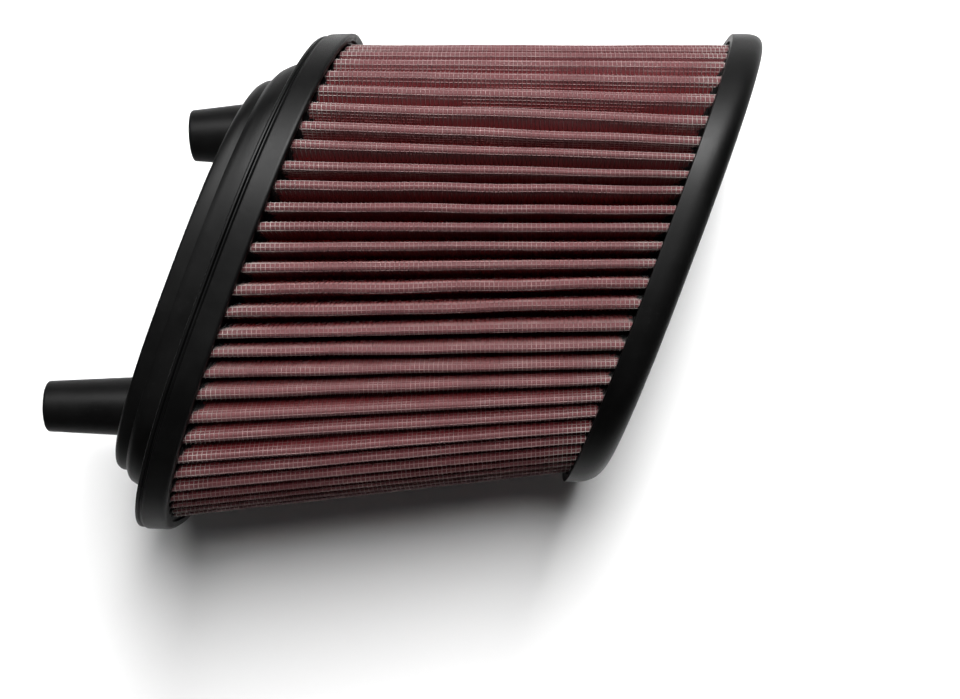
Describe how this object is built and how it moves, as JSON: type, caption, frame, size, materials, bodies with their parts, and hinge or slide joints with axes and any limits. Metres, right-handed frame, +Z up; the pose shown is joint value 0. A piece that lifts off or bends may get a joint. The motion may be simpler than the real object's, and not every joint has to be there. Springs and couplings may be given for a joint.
{
  "type": "motorcycle air filter element",
  "caption": "Tapered oval air filter with a pleated red gauze pack between two leaning black end caps, an outlet mouth and locating pegs.",
  "frame": {"origin": "middle of the bottom of the bounding box, on the surface the filter lies on", "axes": "+X along the pleats from the base cap to the closed end cap, +Y along the long axis of the oval caps towards the upper peg, +Z up from the broad side the filter lies on"},
  "size_m": [0.2526, 0.174, 0.1466],
  "materials": {
    "cap_urethane": "satin moulded urethane",
    "adapter_plastic": "fine moulded grain",
    "peg_rubber": "satin rubber",
    "gasket_rubber": "matte rubber",
    "screen_mesh": "coated woven wire",
    "oiled_gauze": "oiled woven cotton",
    "collar_metal": "turned satin",
    "insert_steel": "zinc plated"
  },
  "bodies": {
    "root": {"base_cap": "cap_urethane", "end_cap": "cap_urethane", "end_plate": "insert_steel", "adapter_plate": "adapter_plastic", "outlet_boss": "adapter_plastic", "outlet_collar": "collar_metal", "outlet_gasket": "gasket_rubber", "lower_peg_core": "insert_steel", "lower_peg_sleeve": "peg_rubber", "upper_peg_core": "insert_steel", "upper_peg_sleeve": "peg_rubber", "outer_screen": "screen_mesh", "outer_gauze": "oiled_gauze", "inner_gauze": "oiled_gauze", "inner_screen": "screen_mesh", "seam_clip": "insert_steel"}
  },
  "joints": []
}
